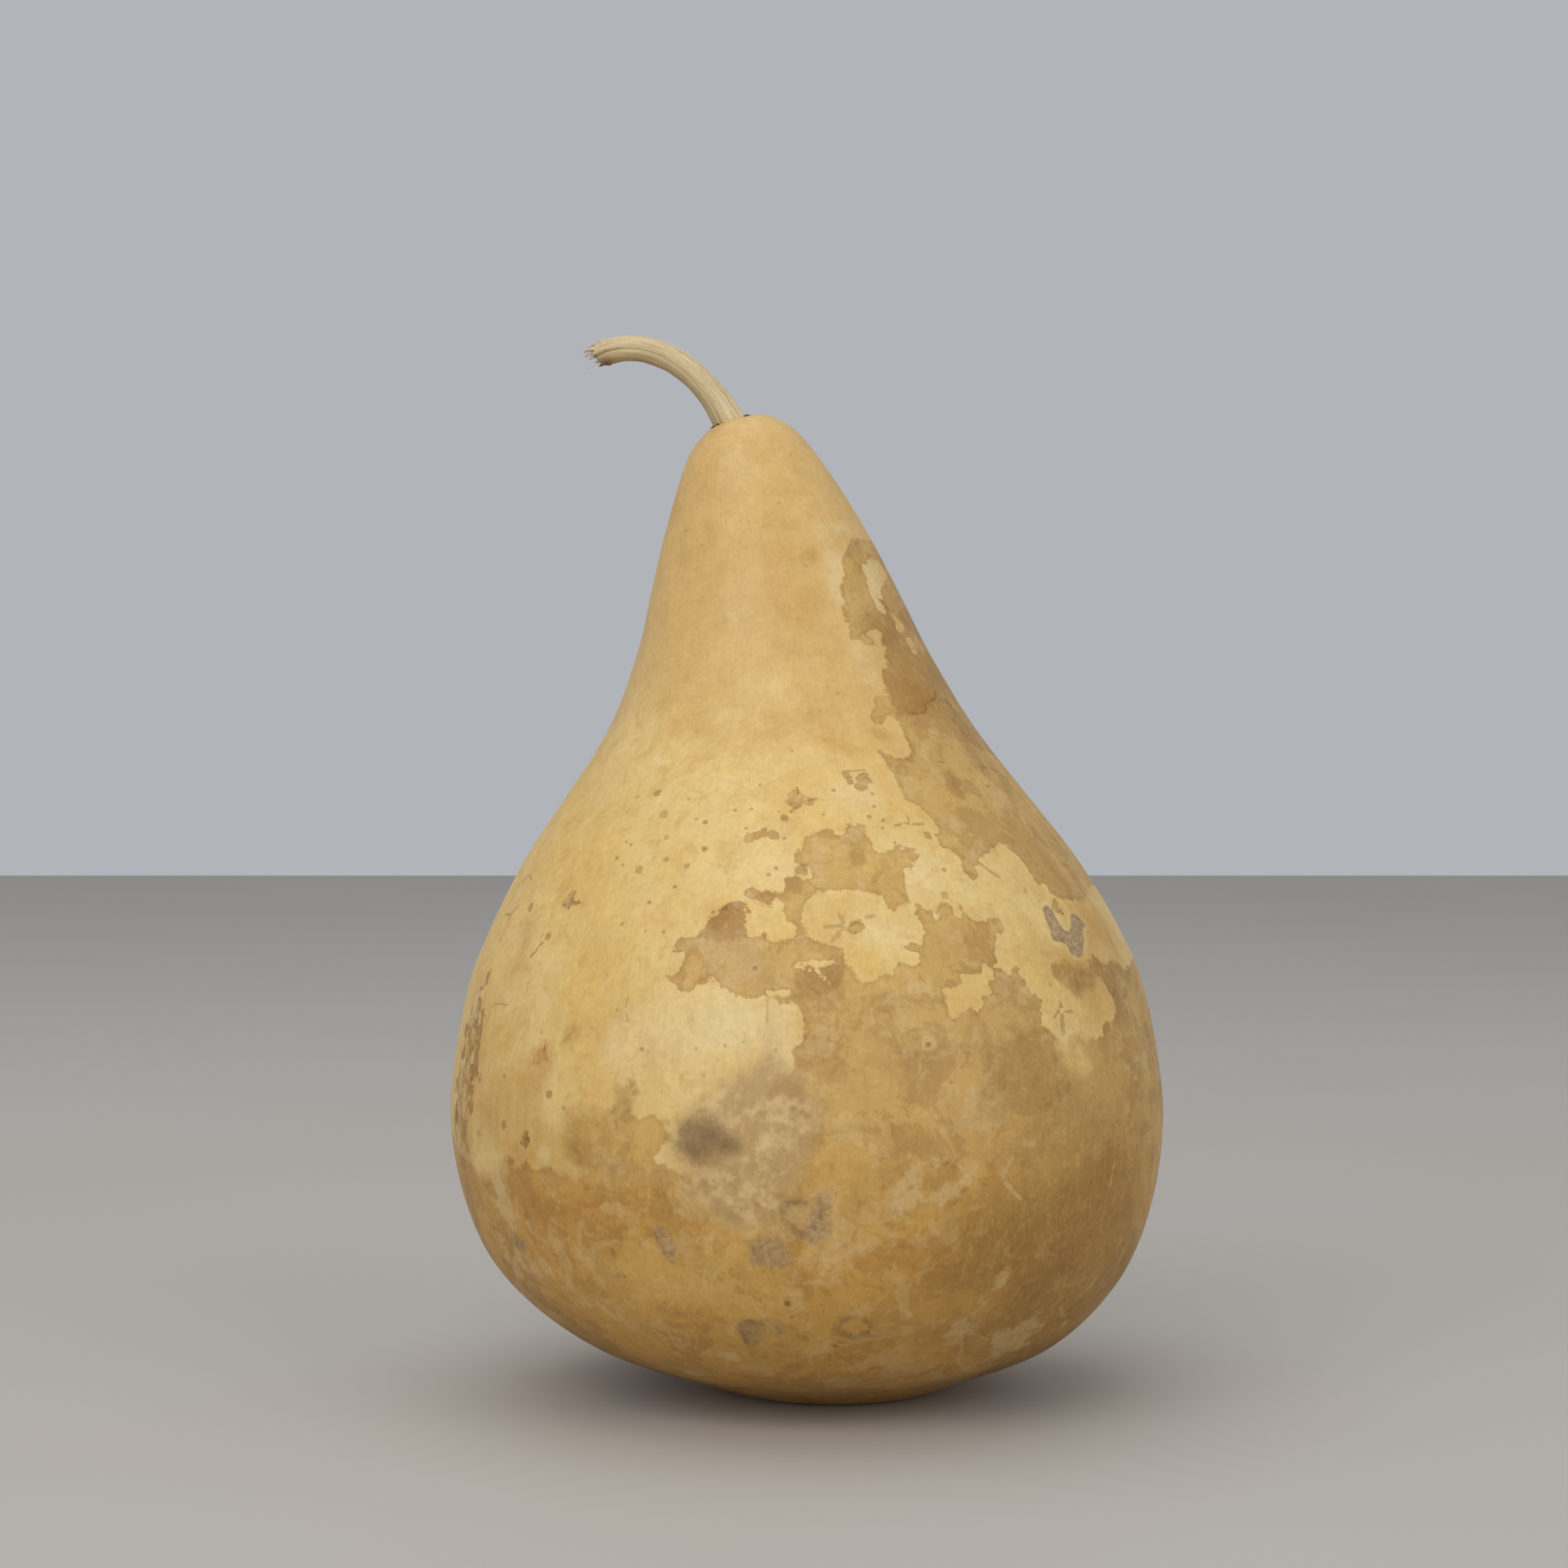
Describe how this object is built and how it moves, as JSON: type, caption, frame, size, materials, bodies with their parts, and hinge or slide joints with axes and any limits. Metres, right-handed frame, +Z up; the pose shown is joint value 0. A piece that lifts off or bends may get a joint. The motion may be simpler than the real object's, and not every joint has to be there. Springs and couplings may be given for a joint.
{
  "type": "dried bottle gourd",
  "caption": "Pear-shaped dried gourd with a leaning neck, a mottled tan shell and a dry, arched, ribbed stem; stands on a small flat foot.",
  "frame": {"origin": "on the surface that the gourd stands on, under the middle of the belly's box", "axes": "+Z up, from the flat foot to the stem; -X the way the neck leans and the stem arches; -Y towards the viewer of the picture"},
  "size_m": [0.2114, 0.2132, 0.3129],
  "materials": {
    "rind": "dry waxy shell, satin, with crisp brown stains",
    "dry_stem": "matt, fibrous, ribbed lengthwise"
  },
  "bodies": {
    "root": {"fruit": "rind", "stem": "dry_stem"}
  },
  "joints": []
}
